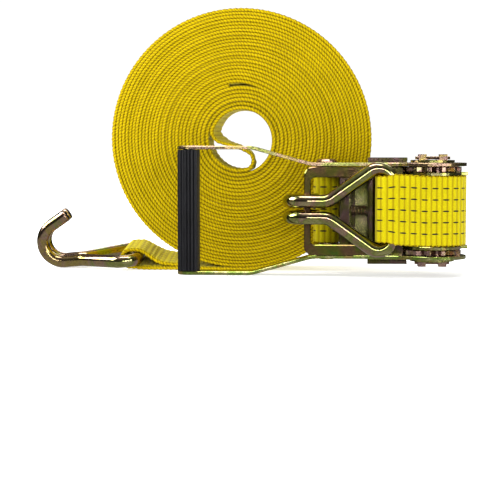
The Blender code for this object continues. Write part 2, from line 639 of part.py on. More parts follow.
def build():
    for obj in list(bpy.data.objects):
        bpy.data.objects.remove(obj)
    buckle = empty("ratchet_origin", (AXLE_X, RATCHET_Y, AXLE_Z), (90.0, 0.0, 0.0))
    yellow = webbing("webbing_yellow")

    base_frame(buckle)
    anchor(buckle)
    lock_pawl(buckle)
    coil_spring("lock_pawl_spring", buckle, -44.9, -54.9, LOCK_PAWL_LOW + PAWL_THICK / 2, 3.0, 5)
    spring_seat("lock_spring_seat", buckle, -55.8, FRAME_INNER - GAP, -14.0, -3.4,
                LOCK_PAWL_LOW + PAWL_THICK / 2, 0.0)

    spool(empty("spool_axis", parent=buckle))

    handle_pivot = empty("handle_pivot", parent=buckle)
    handle(handle_pivot)
    handle_yoke(handle_pivot)
    drive_pawl(handle_pivot)
    coil_spring("drive_pawl_spring", handle_pivot, -47.9, -59.5, DRIVE_PAWL_LOW + PAWL_THICK / 2, 3.2, 5)
    spring_seat("handle_spring_seat", handle_pivot, -60.4, 28.9, -1.2, ARM_TOP,
                DRIVE_PAWL_LOW + PAWL_THICK / 2, 7.0)
    fixed_strap(buckle, handle_pivot, yellow)

    path = wire_hook_path()
    parked = empty("fixed_hook_pivot", (PARKED_U, PARKED_V, PARKED_W), parent=handle_pivot)
    tube("fixed_hook", path, WIRE_RADIUS, parked, zinc("fixed_hook_zinc"))

    long_strap(yellow)
    lean = math.degrees(math.asin((LONG_BAR_Z - WIRE_RADIUS - LONG_HOOK_RISE) / HOOK_REACH))
    middle_y = COIL_FRONT_Y + WEB_HALF
    place = (LONG_BAR_X, middle_y, LONG_BAR_Z)
    pivot = empty("long_hook_pivot", place, (LONG_HOOK_ROLL, 0.0, 0.0))
    turned_over = empty("long_hook_lean", turn=(180.0, -lean, 0.0), parent=pivot)
    tube("long_hook", path, WIRE_RADIUS, turned_over, zinc("long_hook_zinc"))


build()
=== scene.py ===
"""Looks of the ratchet tie down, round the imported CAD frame: webbing, hooks, plated steel, grip."""

import json
import math

import bmesh
import bpy
from mathutils import Matrix, Vector
from mathutils.geometry import interpolate_bezier


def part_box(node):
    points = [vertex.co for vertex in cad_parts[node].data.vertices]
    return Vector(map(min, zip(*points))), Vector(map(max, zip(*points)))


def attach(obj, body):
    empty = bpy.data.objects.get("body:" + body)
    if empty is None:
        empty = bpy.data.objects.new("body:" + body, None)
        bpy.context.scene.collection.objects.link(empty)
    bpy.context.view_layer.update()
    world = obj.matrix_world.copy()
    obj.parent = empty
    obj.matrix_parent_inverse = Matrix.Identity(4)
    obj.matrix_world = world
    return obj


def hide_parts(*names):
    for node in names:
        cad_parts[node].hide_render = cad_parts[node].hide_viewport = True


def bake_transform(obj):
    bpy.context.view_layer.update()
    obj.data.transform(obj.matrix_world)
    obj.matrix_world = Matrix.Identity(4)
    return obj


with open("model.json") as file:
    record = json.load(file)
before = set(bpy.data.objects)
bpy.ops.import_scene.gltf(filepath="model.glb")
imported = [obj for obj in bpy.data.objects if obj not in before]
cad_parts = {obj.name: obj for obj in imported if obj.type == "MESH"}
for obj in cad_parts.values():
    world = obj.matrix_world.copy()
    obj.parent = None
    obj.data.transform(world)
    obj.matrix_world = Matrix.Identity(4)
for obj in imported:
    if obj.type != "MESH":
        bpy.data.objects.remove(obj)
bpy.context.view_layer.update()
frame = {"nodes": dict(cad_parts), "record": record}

MM = 0.001
JOINTS = {joint["name"]: joint for joint in frame["record"]["behaviour"]["joints"]}
AXLE = Vector(JOINTS["handle_open"]["pos_m"])
PARKED_BAR = Vector(JOINTS["fixed_hook_swing"]["pos_m"])
LONG_BAR = Vector(JOINTS["long_hook_swing"]["pos_m"])
COIL_LOW, COIL_HIGH = (Vector(corner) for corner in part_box("long_strap_roll"))
COIL = (COIL_LOW + COIL_HIGH) / 2


# ---------- camera ----------

CAMERA_FROM_AXLE = Vector((-0.0742, -1.1, 0.0488))
CAMERA_AIM = Vector((-0.0531, 1.0, -0.0710))
CAMERA_LENS = 108.5


def make_camera():
    data = bpy.data.cameras.new("camera")
    data.lens = CAMERA_LENS
    data.clip_end = 20.0
    camera = bpy.data.objects.new("camera", data)
    camera.location = AXLE + CAMERA_FROM_AXLE
    camera.rotation_euler = CAMERA_AIM.to_track_quat("-Z", "Y").to_euler()
    bpy.context.scene.collection.objects.link(camera)
    bpy.context.scene.camera = camera


make_camera()


# ---------- materials ----------

def add(tree, kind, inputs=None, **settings):
    """A node with its settings. Inputs are numbers, colours, or other nodes or their outputs."""
    node = tree.nodes.new("ShaderNode" + kind)
    for key, value in settings.items():
        setattr(node, key, value)
    for key, value in (inputs or {}).items():
        if isinstance(value, bpy.types.NodeSocket):
            tree.links.new(value, node.inputs[key])
        elif isinstance(value, bpy.types.Node):
            tree.links.new(value.outputs[0], node.inputs[key])
        else:
            node.inputs[key].default_value = value
    return node


def wave(tree, value, pitch):
    """A sine that repeats every pitch of the value."""
    return math_node(tree, "SINE", math_node(tree, "MULTIPLY", value, 2 * math.pi / pitch))


def math_node(tree, operation, *values):
    return add(tree, "Math", dict(enumerate(values)), operation=operation)


def ramp(tree, factor, stops):
    node = add(tree, "ValToRGB", {"Fac": factor})
    points = node.color_ramp.elements
    while len(points) < len(stops):
        points.new(0.5)
    for point, (place, colour) in zip(points, stops):
        point.position = place
        point.color = (*colour, 1.0)
    return node


def new_material(name):
    made = bpy.data.materials.new(name)
    made.use_nodes = True
    tree = made.node_tree
    shader = tree.nodes["Principled BSDF"]
    return made, tree, shader


def mix_colour(tree, factor, a, b, blend_type="MIX"):
    """Colour b laid over colour a by the factor."""
    node = add(tree, "Mix", data_type="RGBA", blend_type=blend_type)
    for index, value in ((0, factor), (6, a), (7, b)):
        if isinstance(value, bpy.types.Node):
            tree.links.new(value.outputs[0], node.inputs[index])
        elif isinstance(value, bpy.types.NodeSocket):
            tree.links.new(value, node.inputs[index])
        else:
            node.inputs[index].default_value = value if index == 0 else (*value, 1.0)
    return node.outputs[2]


GOLD, OLIVE, STRAW = (0.42, 0.32, 0.10), (0.30, 0.33, 0.08), (0.52, 0.47, 0.22)
ROSE, PLUM, GREEN = (0.42, 0.27, 0.20), (0.28, 0.17, 0.16), (0.22, 0.32, 0.06)
DARK_OLIVE, DARK_GREEN, BROWN = (0.17, 0.17, 0.03), (0.10, 0.20, 0.03), (0.20, 0.11, 0.06)
GOLDEN = [STRAW, GOLD, OLIVE, STRAW, ROSE, GOLD]
ROSY = [ROSE, GOLD, PLUM, ROSE, STRAW, ROSE]
SPECKS_PER_PATCH = 22


def plated_steel(name, tints, roughness, patch, shift):
    """Zinc plating with a yellow passivate film, whose tint drifts from patch to patch. patch is
    the scale of the drift, and shift moves it, so that pieces side by side differ."""
    made, tree, shader = new_material(name)
    place = add(tree, "TexCoord").outputs["Object"]
    moved = add(tree, "Mapping", {"Vector": place, "Location": (shift, shift * 0.7, -shift)})
    cloud = add(tree, "TexNoise", {"Vector": moved, "Scale": patch, "Detail": 3.0,
                                   "Roughness": 0.55, "Distortion": 1.6})
    spread = add(tree, "MapRange", {"Value": cloud, 1: 0.25, 2: 0.75})
    colour = ramp(tree, spread, [(i / (len(tints) - 1), tint) for i, tint in enumerate(tints)])
    speck = add(tree, "TexNoise", {"Vector": moved, "Scale": patch * SPECKS_PER_PATCH,
                                   "Detail": 4.0})
    dull = add(tree, "MapRange", {"Value": speck, 1: 0.3, 2: 0.7, 3: 0.75, 4: 1.08})
    shaded = mix_colour(tree, 1.0, colour, dull, "MULTIPLY")
    tree.links.new(shaded, shader.inputs["Base Color"])
    shader.inputs["Metallic"].default_value = 1.0
    rough = add(tree, "MapRange", {"Value": speck, 1: 0.25, 2: 0.75, 3: roughness * 0.8,
                                   4: roughness * 1.3})
    tree.links.new(rough.outputs[0], shader.inputs["Roughness"])
    grain = add(tree, "TexNoise", {"Vector": moved, "Scale": 900.0, "Detail": 3.0})
    bump = add(tree, "Bump", {"Height": grain.outputs[0], "Strength": 0.06, "Distance": 0.0004})
    tree.links.new(bump.outputs[0], shader.inputs["Normal"])
    return made


RIB_PITCH, WARP_PITCH, WEFT_PITCH = 0.0041, 0.00125, 0.00137
BEAD_PITCH, BEAD_SLANT, BEAD_WANDER = 0.0024, 2.6, 7.0  # the edge's yarns, the last two in radians
DASH_PITCH, DASH_LENGTH, DASH_HALF_HEIGHT, DASH_ROUND = 0.0082, 0.0050, 0.00056, 2.6
ROW_PITCH, ROWS = 0.0081, 5
# the faces' yellows darken into the rib valleys, and the sides' yellows between the edge yarns'
# twists: painted shade
FACE_YELLOWS_PAINTED_RIB_SHADE = [(0.0, (0.33, 0.24, 0.001)), (0.3, (0.48, 0.40, 0.001)), (1.0, (0.52, 0.44, 0.001))]
SIDE_YELLOWS_PAINTED_TWIST_SHADE = [(0.0, (0.35, 0.23, 0.001)), (0.4, (0.49, 0.35, 0.001)), (1.0, (0.58, 0.43, 0.001))]
# the first colour below is painted shade for the gaps where the coil's layers meet; the second is the
# black of the tracer stitches
GAP_SHADE_COLOUR, THREAD_COLOUR = (0.04, 0.014, 0.0002), (0.010, 0.010, 0.012)


def webbing_material():
    """Woven polyester: cross ribs, fine warp yarns, rows of black tracer stitches, twisted edge
    yarns, with painted shade in the rib valleys, between the edge yarns' twists and in the gaps
    between the coil's layers. along and across are metres on the flat webbing, edge is 1 on its
    thin sides, and depth runs from -1 to 1 through its thickness."""
    made, tree, shader = new_material("webbing_yellow")
    along, across, edge, depth = (add(tree, "Attribute", attribute_name=name).outputs["Fac"]
                                  for name in ("along", "across", "edge", "depth"))

    def calc(operation, *values):
        return math_node(tree, operation, *values)

    def within(value, pitch, offset):
        """Distance from the middle of the pitch that the value falls in."""
        return calc("SUBTRACT", calc("MODULO", calc("ADD", value, offset), pitch), pitch / 2)

    rib = wave(tree, along, RIB_PITCH)
    warp_phase = calc("MULTIPLY", across, 2 * math.pi / WARP_PITCH)
    warp = calc("SINE", calc("ADD", warp_phase, calc("MULTIPLY", rib, 0.8)))
    weave = calc("MULTIPLY", warp, wave(tree, along, WEFT_PITCH))

    place = add(tree, "TexCoord").outputs["Object"]
    cloud = add(tree, "TexNoise", {"Vector": place, "Scale": 55.0, "Detail": 4.0})
    fleck = add(tree, "TexNoise", {"Vector": place, "Scale": 1400.0, "Detail": 2.0})
    wander = add(tree, "TexNoise", {"Vector": place, "Scale": 240.0, "Detail": 2.0})

    yarn = calc("ADD", calc("MULTIPLY", along, 2 * math.pi / BEAD_PITCH),
                calc("MULTIPLY", depth, BEAD_SLANT))
    bead = calc("SINE", calc("ADD", yarn, calc("MULTIPLY", wander, BEAD_WANDER)))
    # painted shade in the gaps between layers: the thin sides darken towards where they meet the next
    # layer, more so between the edge yarns' twists
    gap_shade = add(tree, "MapRange", {"Value": calc("ABSOLUTE", depth), 1: 0.45, 2: 0.9})
    broken = add(tree, "MapRange", {"Value": bead, 1: -1.0, 2: 1.0, 3: 1.0, 4: 0.5})
    gap_shade = calc("MULTIPLY", calc("MULTIPLY", gap_shade, broken), edge)

    # painted shade: the faces darker in the rib valleys, the thin sides darker between the edge
    # yarns' twists
    face = ramp(tree, add(tree, "MapRange", {"Value": rib, 1: -1.0, 2: 1.0}), FACE_YELLOWS_PAINTED_RIB_SHADE)
    side = ramp(tree, add(tree, "MapRange", {"Value": bead, 1: -1.0, 2: 1.0}), SIDE_YELLOWS_PAINTED_TWIST_SHADE)
    colour = mix_colour(tree, edge, face, side)
    drift = add(tree, "MapRange", {"Value": cloud, 1: 0.3, 2: 0.7, 3: 0.94, 4: 1.03})
    colour = mix_colour(tree, 1.0, colour, drift, "MULTIPLY")
    grit = add(tree, "MapRange", {"Value": fleck, 1: 0.3, 2: 0.7, 3: 0.84, 4: 1.1})
    colour = mix_colour(tree, 1.0, colour, grit, "MULTIPLY")
    # lay the painted gap shade over the colour
    colour = mix_colour(tree, gap_shade, colour, GAP_SHADE_COLOUR)

    # the offsets keep the sums above zero, and put a row in the webbing's middle
    row = within(across, ROW_PITCH, ROW_PITCH * 8.5)
    stitch = within(along, DASH_PITCH, DASH_PITCH * 10)
    off_row = calc("POWER", calc("DIVIDE", row, DASH_HALF_HEIGHT), 2.0)
    off_dash = calc("POWER", calc("ABSOLUTE", calc("DIVIDE", stitch, DASH_LENGTH / 2)), DASH_ROUND)
    on_thread = add(tree, "MapRange", {"Value": calc("ADD", off_row, off_dash),
                                       1: 0.8, 2: 1.15, 3: 1.0, 4: 0.0})
    inside = calc("LESS_THAN", calc("ABSOLUTE", across), ROW_PITCH * ROWS / 2)
    flat = calc("SUBTRACT", 1.0, edge)
    thread = calc("MULTIPLY", calc("MULTIPLY", inside, flat), on_thread)
    colour = mix_colour(tree, thread, colour, THREAD_COLOUR)
    tree.links.new(colour, shader.inputs["Base Color"])

    relief = calc("ADD", calc("MULTIPLY", rib, 0.55), calc("MULTIPLY", weave, 0.3))
    relief = calc("MULTIPLY", relief, flat)
    relief = calc("ADD", relief, calc("MULTIPLY", calc("MULTIPLY", bead, edge), 0.4))
    relief = calc("SUBTRACT", relief, calc("MULTIPLY", thread, 0.8))
    bump = add(tree, "Bump", {"Height": relief, "Strength": 0.55, "Distance": 0.00022})
    tree.links.new(bump.outputs[0], shader.inputs["Normal"])
    shader.inputs["Roughness"].default_value = 0.7
    shader.inputs["Specular IOR Level"].default_value = 0.05
    tree.links.new(calc("MULTIPLY", flat, 0.4).outputs[0], shader.inputs["Sheen Weight"])
    shader.inputs["Sheen Roughness"].default_value = 0.45
    shader.inputs["Sheen Tint"].default_value = (1.0, 0.86, 0.2, 1.0)
    return made


def grip_material():
    """Black moulded plastic with a fine grain."""
    made, tree, shader = new_material("grip_plastic")
    place = add(tree, "TexCoord").outputs["Object"]
    cloud = add(tree, "TexNoise", {"Vector": place, "Scale": 60.0, "Detail": 3.0})
    colour = ramp(tree, cloud, [(0.3, (0.002, 0.002, 0.003)), (0.7, (0.004, 0.004, 0.006))])
    tree.links.new(colour.outputs[0], shader.inputs["Base Color"])
    grain = add(tree, "TexNoise", {"Vector": place, "Scale": 2200.0, "Detail": 2.0})
    bump = add(tree, "Bump", {"Height": grain.outputs[0], "Strength": 0.25, "Distance": 0.0002})
    tree.links.new(bump.outputs[0], shader.inputs["Normal"])
    rough = add(tree, "MapRange", {"Value": cloud, 3: 0.3, 4: 0.4})
    tree.links.new(rough.outputs[0], shader.inputs["Roughness"])
    shader.inputs["Specular IOR Level"].default_value = 0.28
    return made


# ---------- ribbons of webbing ----------

HALF_WIDTH, HALF_THICK = 25.0 * MM, 1.21 * MM
RIB_HEIGHT, SCALLOP = 0.15 * MM, 2.0  # ribs on the faces, and how much further they widen the strip
FINE, COARSE = 0.8 * MM, 2.4 * MM  # steps along it, where its faces show and where they don't
# its section, in shares of half its width, and at the edge also of half its thickness
FLATS = (-0.965, -0.75, -0.5, -0.25, 0.0, 0.25, 0.5, 0.75, 0.965)
ROUND_EDGE = ((0.985, 0.86), (0.998, 0.5), (1.003, 0.0), (0.998, -0.5), (0.985, -0.86))


def resampled(points, step):
    """The polyline's points again at near-equal spacing, as (point, distance along)."""
    lengths = [0.0]
    for a, b in zip(points, points[1:]):
        lengths.append(lengths[-1] + (b - a).length)
    count = max(2, round(lengths[-1] / step))
    found, i = [], 0
    for k in range(count + 1):
        target = lengths[-1] * k / count
        while i < len(points) - 2 and lengths[i + 1] < target:
            i += 1
        share = (target - lengths[i]) / max(lengths[i + 1] - lengths[i], 1e-12)
        found.append((points[i].lerp(points[i + 1], share), target))
    return found


def ribbon(name, stretches, place, look, thick_at=lambda point: HALF_THICK):
    """A strip of webbing. stretches is a list of (points, step, rib height, width at a distance),
    each following on from the last, in the plane that the strip's edge is seen in.
    place(a, across, b) gives the world's point. Returns the object and its length."""
    spots, start = [], 0.0
    for points, step, rib_height, width_at in stretches:
        part = resampled(points, step)
        part = part[1:] if spots else part
        spots += [(point, start + s, rib_height, width_at(s)) for point, s in part]
        start += part[-1][1]
    section = [(a, 1.0, 0.0) for a in FLATS]
    section += [(a, t, 1.0) for a, t in ROUND_EDGE]
    section += [(a, -1.0, 0.0) for a in reversed(FLATS)]
    section += [(-a, -t, 1.0) for a, t in ROUND_EDGE]
    verts, along, across, edge, depth = [], [], [], [], []
    for i, (point, s, rib_height, width) in enumerate(spots):
        heading = (spots[min(i + 1, len(spots) - 1)][0] - spots[max(i - 1, 0)][0]).normalized()
        square = Vector((-heading.y, heading.x))
        swell = rib_height * math.sin(2 * math.pi * s / RIB_PITCH)
        half_thick = thick_at(point)
        sway = (0.45 * math.sin(s * 9.1) + 0.3 * math.sin(s * 23.7 + 1.0)) * MM
        for a, t, on_edge in section:
            spot = point + square * t * (half_thick + swell)
            half_width = HALF_WIDTH * width + swell * SCALLOP * abs(a) ** 12
            verts.append(place(spot.x, a * half_width + sway, spot.y))
            along.append(s)
            across.append(a * HALF_WIDTH)
            edge.append(on_edge)
            depth.append(t)
    size = len(section)
    faces = []
    for first in range(0, (len(spots) - 1) * size, size):
        for j, k in zip(range(size), [*range(1, size), 0]):
            faces.append((first + j, first + k, first + size + k, first + size + j))
    last = (len(spots) - 1) * size
    faces += [tuple(range(size))[::-1], tuple(range(last, last + size))]
    mesh = bpy.data.meshes.new(name)
    mesh.from_pydata(verts, [], faces)
    for label, values in (("along", along), ("across", across), ("edge", edge), ("depth", depth)):
        mesh.attributes.new(label, "FLOAT", "POINT").data.foreach_set("value", values)
    bm = bmesh.new()
    bm.from_mesh(mesh)
    bmesh.ops.recalc_face_normals(bm, faces=bm.faces)
    bm.to_mesh(mesh)
    bm.free()
    mesh.shade_smooth()
    mesh.materials.append(look)
    obj = bpy.data.objects.new(name, mesh)
    bpy.context.scene.collection.objects.link(obj)
    return obj, spots[-1][1]


def arc(centre, radius, start, end, steps):
    """Points round the centre, from one angle in degrees to the other."""
    turns = [math.radians(start + (end - start) * i / steps) for i in range(steps + 1)]
    return [Vector((centre[0] + radius * math.cos(t), centre[1] + radius * math.sin(t)))
            for t in turns]


def curve_through(spots, start_way, end_way, steps=14):
    """A smooth line through the spots, with its direction given at both ends."""
    spots = [Vector(spot) for spot in spots]
    ways = [Vector(start_way).normalized()]
    ways += [(after - before).normalized() for before, after in zip(spots, spots[2:])]
    ways += [Vector(end_way).normalized()]
    line = [spots[0]]
    for a, b, way_a, way_b in zip(spots, spots[1:], ways, ways[1:]):
        pull = (b - a).length / 3
        line += interpolate_bezier(a, a + way_a * pull, b - way_b * pull, b, steps)[1:]
    return [point.to_2d() for point in line]


def full(_):
    """The width of webbing that isn't pinched anywhere, as a share of its own."""
    return 1.0


def smooth(share):
    """The share held between 0 and 1, with a soft start and end."""
    share = min(1.0, max(0.0, share))
    return share * share * (3 - 2 * share)


def heading_at(degrees):
    return Vector((math.cos(math.radians(degrees)), math.sin(math.radians(degrees))))


# ---------- long strap ----------

STRAP_THICK = 2.7 * MM
COIL_LAYERS_RADIUS = (COIL_HIGH.x - COIL_LOW.x) / 2 - STRAP_THICK / 2  # of the outermost layer
INNER_RADIUS, TURNS, START_ANGLE = 23.4 * MM, 25 + 14 / 360, -76.0
SHORT_START_ANGLE, SHORT_TURNS = 150.0, 3.133
SHORT_LEAD = (START_ANGLE - SHORT_START_ANGLE) / 360.0 + 1.0  # turns the short arm has already made
SHORT_END_TURN = SHORT_TURNS + SHORT_LEAD
CLOSING_TURNS = 0.11  # how soon the gap behind the short end closes
SETTLING_TURNS = 11.0  # how soon the step that it leaves has faded
LAYERS = TURNS + SHORT_END_TURN - 0.5
LOOSE, LOOSE_LAYERS = 4.5 * MM, 6.0  # the inner layers lie further apart, by so much over so many
OVERLAP, MOST_HALF_THICK = 0.08 * MM, 1.5 * MM  # layers overlap, so that no light comes through


def layer_radius(layer):
    """Radius of the middle of a layer, by its number from the coil's open middle outwards."""
    slack = LOOSE * (1 - math.exp(-LAYERS / LOOSE_LAYERS))
    pitch = (COIL_LAYERS_RADIUS - INNER_RADIUS - slack) / LAYERS
    return INNER_RADIUS + pitch * layer + LOOSE * (1 - math.exp(-layer / LOOSE_LAYERS))


def coil_half_thick(point):
    """Half of the space that the layers have where this point is, so that they just touch, and half
    of the webbing's own thickness in the coil's open middle."""
    radius = (point - Vector((COIL.x, COIL.z))).length
    low, high = 0.0, LAYERS
    while high - low > 0.05:
        layer = (low + high) / 2
        low, high = (layer, high) if layer_radius(layer) < radius else (low, layer)
    room = (layer_radius(low + 0.5) - layer_radius(low - 0.5)) / 2 + OVERLAP
    wound = min(1.0, max(0.0, (radius - 0.86 * INNER_RADIUS) / (0.1 * INNER_RADIUS)))
    return HALF_THICK + (min(room, MOST_HALF_THICK) - HALF_THICK) * wound


def long_arm_layer(turn):
    """Two layers a turn while the short arm lies between the turns, then one a turn, and the step
    that the short arm's end leaves fades as the layers build up."""
    if turn <= SHORT_END_TURN:
        return 2 * turn
    since = turn - SHORT_END_TURN
    part = since % 1.0
    step = 0.5 - smooth(part / CLOSING_TURNS) + part
    return turn + SHORT_END_TURN - 0.5 + step * max(0.0, 1.0 - since / SETTLING_TURNS)


def polar(layer, angle):
    """The point of a layer at an angle in degrees."""
    radius, t = layer_radius(layer), math.radians(angle)
    return Vector((COIL.x + radius * math.cos(t), COIL.z + radius * math.sin(t)))


TAIL_START, TWIST_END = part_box("long_strap_tail")[1][0], -60.0 * MM
TAIL_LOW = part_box("long_strap_tail")[0][2]
HOOK_AXIS = Vector(JOINTS["long_hook_swing"]["axis"])
BAR_ABOVE_TAIL = 7.75 * MM  # the long hook's bar, before the twist lifts it
LOOP_RISE = LONG_BAR.z - TAIL_LOW - BAR_ABOVE_TAIL
LOOP_WIDTH = 0.85  # of the webbing's, where the hook's corners swing past it
PINCH_LENGTH = 12.0 * MM  # over which the strap narrows to that
SLOT_ANGLE = SHORT_START_ANGLE - 360.0 * (SHORT_TURNS - 3)  # of the short arm's cut end
SLOT_RADIUS, SLOT_DEGREES, SLOT_SAG = layer_radius(2 * SHORT_END_TURN - 1), 34.0, 2.3 * MM
SLOT_START = 8.0  # degrees before the cut end, where the sag starts
SLOT_LOW, SLOT_HIGH = 0.9 * MM, 3.2  # where the sag starts, and in mm how far above that it ends
CORE_EDGE, CORE_FADE, LEAN, LEAN_BY_X = 24.0 * MM, 7.0 * MM, 1.0 * MM, -0.26
TWIST_OUTSIDE = COIL_LAYERS_RADIUS + 1.5 * MM


def long_place(a, across, b):
    """The long strap's point in the world. The coil's middle leans over towards the back, the layer
    over the short arm's end sags there, and beyond the coil the tail twists until it lies over like
    its hook."""
    share = (across + HALF_WIDTH) / (2 * HALF_WIDTH)
    from_middle = Vector((a - COIL.x, b - COIL.z))
    core = smooth((CORE_EDGE - from_middle.length) / CORE_FADE)
    lean = core * share * (LEAN + LEAN_BY_X * from_middle.x)
    angle = math.degrees(math.atan2(from_middle.y, from_middle.x))
    past_slot = (SLOT_ANGLE - angle + SLOT_START) / SLOT_DEGREES
    over = (from_middle.length - SLOT_RADIUS - SLOT_LOW) / MM
    if 0.0 < past_slot < 1.0 and 0.0 < over < SLOT_HIGH:
        sag = SLOT_SAG * math.sin(math.pi * min(1.0, past_slot * 1.2)) * min(1.0, 4 * share)
        b -= sag * min(1.0, (SLOT_HIGH - over) / (SLOT_HIGH / 2))
    twist = 0.0
    if from_middle.length > TWIST_OUTSIDE:
        twist = min(1.0, max(0.0, (TAIL_START - a) / (TAIL_START - TWIST_END)))
    rise = twist * (LOOP_RISE + across * HOOK_AXIS.z / HOOK_AXIS.y)
    return (a + lean, COIL.y + across, b + rise)


TURN_STEPS = 150
ACROSS_MIDDLE = ((-21.6, 5.0), (-18.3, -0.7), (-13.0, -3.0), (-3.6, -5.5), (3.3, -8.3),
                 (8.1, -11.4), (9.6, -15.2), (8.9, -19.2))  # in mm from the coil's middle


def long_strap(look):
    """The long strap in one ribbon: its short arm between the layers, the stretch across the coil's
    middle, the long arm, the tail, and the loop round the long hook with its sewn flap."""
    short = [polar(2 * (i / TURN_STEPS + SHORT_LEAD) - 1,
                   SHORT_START_ANGLE - 360.0 * i / TURN_STEPS)
             for i in range(round(SHORT_TURNS * TURN_STEPS), -1, -1)]
    arm = [polar(long_arm_layer(i / TURN_STEPS), START_ANGLE - 360.0 * i / TURN_STEPS)
           for i in range(round(TURNS * TURN_STEPS) + 1)]
    across = [Vector((COIL.x + a * MM, COIL.z + b * MM)) for a, b in ACROSS_MIDDLE]
    spots = [short[-1], *across, arm[0]]
    middle = curve_through(spots, short[-1] - short[-2], arm[1] - arm[0])

    lie = TAIL_LOW + STRAP_THICK / 2
    bar = Vector((LONG_BAR.x, LONG_BAR.z - LOOP_RISE))
    radius = bar.y - lie
    slack = bar.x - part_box("long_strap_hook_loop")[0][0] - radius - STRAP_THICK / 2
    bulge = bar - Vector((slack, 0.0))
    sewn_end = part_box("long_strap_hook_loop")[1][0]
    tail = curve_through([arm[-1], (COIL.x - 24 * MM, lie), (bar.x + 6 * MM, lie)],
                         (-1, 0), (-1, 0), 40)
    loop = [Vector((bar.x, lie))]
    loop += arc(bulge, radius, 270.0, 90.0, 24) + arc(bar, radius, 90.0, 66.0, 6)
    top = lie + STRAP_THICK
    flap = curve_through([loop[-1], (bar.x + 18.5 * MM, top + 1.2 * MM), (sewn_end, top)],
                         heading_at(-24.0), (1, 0), 30)

    def narrow(s):
        return 1.0 - (1.0 - LOOP_WIDTH) * min(1.0, s / PINCH_LENGTH)

    def widen(s):
        return LOOP_WIDTH + (1.0 - LOOP_WIDTH) * min(1.0, max(0.0, s - 4 * MM) / PINCH_LENGTH)

    outer = len(arm) - TURN_STEPS - 10  # where the outermost layer starts, whose face shows
    stretches = [(short, COARSE, 0.0, full),
                 (middle, FINE, RIB_HEIGHT, full),
                 (arm[:TURN_STEPS], FINE, RIB_HEIGHT, full),
                 (arm[TURN_STEPS - 1:outer], COARSE, 0.0, full),
                 (arm[outer - 1:], FINE, RIB_HEIGHT, full),
                 (tail, FINE, RIB_HEIGHT, full),
                 ([tail[-1], *loop[:1]], FINE, RIB_HEIGHT, narrow),
                 (loop, FINE, RIB_HEIGHT, lambda s: LOOP_WIDTH),
                 (flap, FINE, RIB_HEIGHT, widen)]
    strap, length = ribbon("long_strap_webbing", stretches, long_place, look, coil_half_thick)
    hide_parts("long_strap_roll", "long_strap_core", "long_strap_tail",
                "long_strap_hook_loop")
    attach(strap, "long_strap")


# ---------- fixed strap ----------

CREEP_START = -6.0 * MM
SLEEVE_GAP = 0.3 * MM  # between the anchor's sleeve and the strap
SHOULDER = -8.0 * MM  # where the wrap round the spool starts to bend under the frame
BAR_LAYER_RADIUS = 6.4 * MM  # of the strap's middle round the parked hook's bar
PARKED_SLACK, PARKED_WIDTH = 4.4 * MM, 0.94  # the loop's, past the bar and of the full width


def buckle_place(u, v, w):
    """From the buckle's own axes, along, across and up in metres, to the world. Above the axle the
    strap creeps sideways, to the level of the parked hook."""
    bar = PARKED_BAR - AXLE
    creep = min(1.0, max(0.0, (CREEP_START - u) / (CREEP_START - bar.x))) if w > 0.0 else 0.0
    return (AXLE.x + u, AXLE.y - w, AXLE.z + v + bar.z * creep)


def fixed_strap(look):
    """The fixed strap in one ribbon: its sewn flap and loop round the anchor's sleeve, the run
    under the frame, the wrap round the spool, the top run, and the loop round the parked hook with
    its tongue."""
    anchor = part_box("anchor_sleeve")
    anchor_middle = (Vector(anchor[0]) + Vector(anchor[1])) / 2 - AXLE
    anchor_spot = Vector((anchor_middle.x, -anchor_middle.y))
    sleeve = (anchor[1][0] - anchor[0][0]) / 2
    around = sleeve + SLEEVE_GAP + STRAP_THICK / 2
    run_w = anchor_spot.y - around
    flap_w = run_w + STRAP_THICK
    sleeve_side = anchor_spot + Vector((around, 1.2 * MM))
    flap = curve_through([(-34 * MM, flap_w), (-64 * MM, flap_w), sleeve_side], (-1, 0), (0.0, 1.0))
    loop = arc(anchor_spot, around, 8.0, 270.0, 30)
    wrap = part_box("fixed_strap_wrap")[1][0] - AXLE.x - STRAP_THICK / 2
    low_radius = SHOULDER - run_w
    run = [loop[-1], Vector((wrap - low_radius, run_w))]
    bar = Vector((PARKED_BAR.x - AXLE.x, AXLE.y - PARKED_BAR.y))
    square = math.degrees(math.atan2(-bar.y, -bar.x)
                          + math.acos((BAR_LAYER_RADIUS - wrap) / bar.length))
    bend = arc((wrap - low_radius, SHOULDER), low_radius, -90.0, 0.0, 24)[1:]
    bend += arc((0.0, 0.0), wrap, 0.0, square, 30)
    bulge = bar - Vector((PARKED_SLACK, 0.0))
    top = [bend[-1]] + arc(bar, BAR_LAYER_RADIUS, square, 90.0, 4)
    top += arc(bulge, BAR_LAYER_RADIUS, 90.0, 270.0, 24)
    top += arc(bar, BAR_LAYER_RADIUS, 270.0, 285.0, 4)
    normal = heading_at(square)
    forward = Vector((normal.y, -normal.x))
    end = bar + normal * (BAR_LAYER_RADIUS - STRAP_THICK)
    tongue = curve_through([top[-1], end + forward * 11 * MM, end + forward * 18 * MM],
                           heading_at(15.0), forward)
    straight = (top[1] - top[0]).length

    def narrow(s):
        return 1.0 - (1.0 - PARKED_WIDTH) * min(1.0, max(0.0, (s - straight) / (6 * MM)))

    def widen(s):
        return PARKED_WIDTH + (1.0 - PARKED_WIDTH) * min(1.0, s / (10 * MM))

    lines = [(flap, full), (loop, full), (run, full), ([run[-1], *bend], full), (top, narrow),
             (tongue, widen)]
    stretches = [(line, FINE, RIB_HEIGHT, width_at) for line, width_at in lines]
    strap, length = ribbon("fixed_strap_webbing", stretches, buckle_place, look)
    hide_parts("fixed_strap_anchor_run", "fixed_strap_wrap", "fixed_strap_top")
    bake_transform(strap)


# ---------- wire hooks ----------

